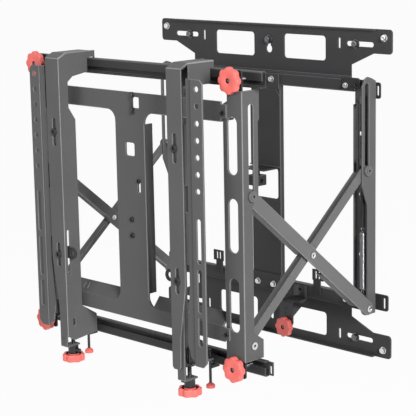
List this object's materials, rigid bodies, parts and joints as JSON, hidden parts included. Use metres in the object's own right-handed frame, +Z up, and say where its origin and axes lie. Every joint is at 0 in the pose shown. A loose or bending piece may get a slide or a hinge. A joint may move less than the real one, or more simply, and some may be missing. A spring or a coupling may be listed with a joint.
{
  "type": "video wall mount",
  "caption": "Pull-out wall mount for a flat screen: two wall plates, a scissor linkage on each side and hook-on screen brackets with adjusting knobs.",
  "frame": {"origin": "middle of the four wall slots, on the back face of the wall plates", "axes": "+X to the right along the wall as the screen is seen, +Y into the wall, +Z up"},
  "size_m": [0.528, 0.3646, 0.538],
  "materials": {
    "grey_coat": "fine textured powder coat",
    "dark_coat": "fine textured powder coat",
    "black_parts": "satin black",
    "zinc_plated": "bright zinc",
    "spring_wire": "drawn wire",
    "knob_coral": "satin",
    "knob_dark_coral": "satin"
  },
  "bodies": {
    "wall_frame": {"wall_plate_top": "grey_coat", "wall_plate_bottom": "grey_coat", "wall_rail_left": "grey_coat", "wall_rail_right": "grey_coat", "cross_channel_top": "grey_coat", "cross_channel_bottom": "grey_coat", "wall_column": "grey_coat", "column_cover": "grey_coat", "latch_catch": "dark_coat", "corner_gussets": "dark_coat", "cable_tabs": "dark_coat", "wall_bolts": "zinc_plated", "spring_anchors": "dark_coat", "spring_left": "spring_wire", "spring_right": "spring_wire", "lock_bracket": "black_parts", "wall_pivot_pins": "zinc_plated"},
    "rear_lock": {"lock_knob": "knob_dark_coral"},
    "rising_arm_right": {"arm_a_right": "grey_coat", "centre_pin_right": "zinc_plated", "slider_pin_a_right": "zinc_plated"},
    "falling_arm_right": {"arm_b_right": "grey_coat", "slider_pin_b_right": "zinc_plated"},
    "rising_arm_left": {"arm_a_left": "grey_coat", "centre_pin_left": "zinc_plated", "slider_pin_a_left": "zinc_plated"},
    "falling_arm_left": {"arm_b_left": "grey_coat", "slider_pin_b_left": "zinc_plated"},
    "spring_link_body_right": {"spring_link_right": "dark_coat"},
    "spring_link_body_left": {"spring_link_left": "dark_coat"},
    "front_frame": {"front_pivot_pins": "zinc_plated", "front_channel_left": "grey_coat", "front_channel_right": "grey_coat", "cross_plate": "grey_coat", "cross_plate_screws": "dark_coat", "rod_clips": "black_parts", "rail_brackets": "dark_coat"},
    "latch_rod_body": {"latch_rod": "black_parts"},
    "screen_frame": {"screen_rail_top": "grey_coat", "screen_rail_bottom": "grey_coat", "rail_nuts": "zinc_plated"},
    "depth_screw_top_left": {"depth_knob_top_left": "knob_coral"},
    "depth_screw_top_right": {"depth_knob_top_right": "knob_coral"},
    "depth_screw_low_left": {"depth_knob_low_left": "knob_coral"},
    "depth_screw_low_right": {"depth_knob_low_right": "knob_coral"},
    "bracket_left": {"hook_channel_left": "grey_coat"},
    "carrier_left": {"hole_plate_left": "grey_coat", "guide_bolts_left": "dark_coat", "height_collar_left": "black_parts"},
    "height_screw_left": {"height_knob_left": "knob_coral"},
    "catch_left": {"pull_rod_left": "black_parts"},
    "ring_tab_left": {"lock_tab_left": "dark_coat"},
    "bracket_right": {"hook_channel_right": "grey_coat"},
    "carrier_right": {"hole_plate_right": "grey_coat", "guide_bolts_right": "dark_coat", "height_collar_right": "black_parts"},
    "height_screw_right": {"height_knob_right": "knob_coral"},
    "catch_right": {"pull_rod_right": "black_parts"},
    "ring_tab_right": {"lock_tab_right": "dark_coat"}
  },
  "joints": [
    {"name": "main_fold", "type": "hinge", "parent": "wall_frame", "child": "rising_arm_right", "pos_m": [0.233, -0.027, -0.181], "axis": [-1, 0, 0], "range_deg": [0, 37.5], "stiffness_Nm_per_rad": 6, "springref_deg": -28.65, "deforming": ["spring_left", "spring_right"]},
    {"name": "centre_pivot_right", "type": "hinge", "parent": "rising_arm_right", "child": "falling_arm_right", "pos_m": [0.229, -0.1655, -0.0678], "axis": [-1, 0, 0], "range_deg": [-75, 0]},
    {"name": "front_pivot_right", "type": "hinge", "parent": "falling_arm_right", "child": "front_frame", "pos_m": [0.233, -0.304, -0.181], "axis": [-1, 0, 0], "range_deg": [0, 37.5]},
    {"name": "wall_pivot_left", "type": "hinge", "parent": "wall_frame", "child": "rising_arm_left", "pos_m": [-0.229, -0.027, -0.181], "axis": [-1, 0, 0], "range_deg": [0, 37.5]},
    {"name": "centre_pivot_left", "type": "hinge", "parent": "rising_arm_left", "child": "falling_arm_left", "pos_m": [-0.229, -0.1655, -0.0678], "axis": [-1, 0, 0], "range_deg": [-75, 0]},
    {"name": "spring_link_pivot_right", "type": "hinge", "parent": "falling_arm_right", "child": "spring_link_body_right", "pos_m": [0.2185, -0.027, 0.0454], "axis": [-1, 0, 0], "range_deg": [0, 37.5]},
    {"name": "spring_link_pivot_left", "type": "hinge", "parent": "falling_arm_left", "child": "spring_link_body_left", "pos_m": [-0.2185, -0.027, 0.0454], "axis": [-1, 0, 0], "range_deg": [0, 37.5]},
    {"name": "rear_lock_turn", "type": "hinge", "parent": "wall_frame", "child": "rear_lock", "pos_m": [0.077, -0.052, -0.234], "axis": [0, -1, 0], "continuous": true},
    {"name": "latch_rod_slide", "type": "slide", "parent": "front_frame", "child": "latch_rod_body", "axis": [0, 0, 1], "range_m": [-0.003, 0.003]},
    {"name": "screen_depth", "type": "slide", "parent": "front_frame", "child": "screen_frame", "axis": [0, -1, 0], "range_m": [0, 0.008]},
    {"name": "depth_screw_top_left_turn", "type": "hinge", "parent": "front_frame", "child": "depth_screw_top_left", "pos_m": [-0.22, -0.32, 0.216], "axis": [0, -1, 0], "range_deg": [-1, 2305]},
    {"name": "depth_screw_top_right_turn", "type": "hinge", "parent": "front_frame", "child": "depth_screw_top_right", "pos_m": [0.22, -0.32, 0.216], "axis": [0, -1, 0], "range_deg": [-1, 2305]},
    {"name": "depth_screw_low_left_turn", "type": "hinge", "parent": "front_frame", "child": "depth_screw_low_left", "pos_m": [-0.22, -0.32, -0.216], "axis": [0, -1, 0], "range_deg": [-1, 2305]},
    {"name": "depth_screw_low_right_turn", "type": "hinge", "parent": "front_frame", "child": "depth_screw_low_right", "pos_m": [0.22, -0.32, -0.216], "axis": [0, -1, 0], "range_deg": [-1, 2305]},
    {"name": "bracket_slide_left", "type": "slide", "parent": "screen_frame", "child": "bracket_left", "axis": [1, 0, 0], "range_m": [-0.0158, 0.0842]},
    {"name": "carrier_height_left", "type": "slide", "parent": "bracket_left", "child": "carrier_left", "axis": [0, 0, 1], "range_m": [-0.015, 0.015]},
    {"name": "height_screw_turn_left", "type": "hinge", "parent": "carrier_left", "child": "height_screw_left", "pos_m": [-0.137, -0.34, -0.264], "axis": [0, 0, 1], "range_deg": [-3601, 3601]},
    {"name": "catch_pull_left", "type": "slide", "parent": "bracket_left", "child": "catch_left", "axis": [0, 0, -1], "range_m": [0, 0.012], "stiffness_N_per_m": 300, "springref_m": -0.01},
    {"name": "ring_tab_slide_left", "type": "slide", "parent": "bracket_left", "child": "ring_tab_left", "axis": [0, 0, 1], "range_m": [-0.02, 0.02]},
    {"name": "bracket_slide_right", "type": "slide", "parent": "screen_frame", "child": "bracket_right", "axis": [-1, 0, 0], "range_m": [-0.0158, 0.0842]},
    {"name": "carrier_height_right", "type": "slide", "parent": "bracket_right", "child": "carrier_right", "axis": [0, 0, 1], "range_m": [-0.015, 0.015]},
    {"name": "height_screw_turn_right", "type": "hinge", "parent": "carrier_right", "child": "height_screw_right", "pos_m": [0.137, -0.34, -0.264], "axis": [0, 0, 1], "range_deg": [-3601, 3601]},
    {"name": "catch_pull_right", "type": "slide", "parent": "bracket_right", "child": "catch_right", "axis": [0, 0, -1], "range_m": [0, 0.012], "stiffness_N_per_m": 300, "springref_m": -0.01},
    {"name": "ring_tab_slide_right", "type": "slide", "parent": "bracket_right", "child": "ring_tab_right", "axis": [0, 0, 1], "range_m": [-0.02, 0.02]}
  ],
  "couplings": [
    {"joint": "centre_pivot_right", "follows": "main_fold", "ratio": -2},
    {"joint": "front_pivot_right", "follows": "main_fold", "ratio": 1},
    {"joint": "wall_pivot_left", "follows": "main_fold", "ratio": 1},
    {"joint": "centre_pivot_left", "follows": "main_fold", "ratio": -2},
    {"joint": "spring_link_pivot_right", "follows": "main_fold", "ratio": 1},
    {"joint": "spring_link_pivot_left", "follows": "main_fold", "ratio": 1},
    {"joint": "depth_screw_top_left_turn", "follows": "screen_depth", "rad_per_m": 5026.5},
    {"joint": "depth_screw_top_right_turn", "follows": "screen_depth", "rad_per_m": 5026.5},
    {"joint": "depth_screw_low_left_turn", "follows": "screen_depth", "rad_per_m": 5026.5},
    {"joint": "depth_screw_low_right_turn", "follows": "screen_depth", "rad_per_m": 5026.5},
    {"joint": "height_screw_turn_left", "follows": "carrier_height_left", "rad_per_m": 4188.8},
    {"joint": "height_screw_turn_right", "follows": "carrier_height_right", "rad_per_m": 4188.8}
  ]
}
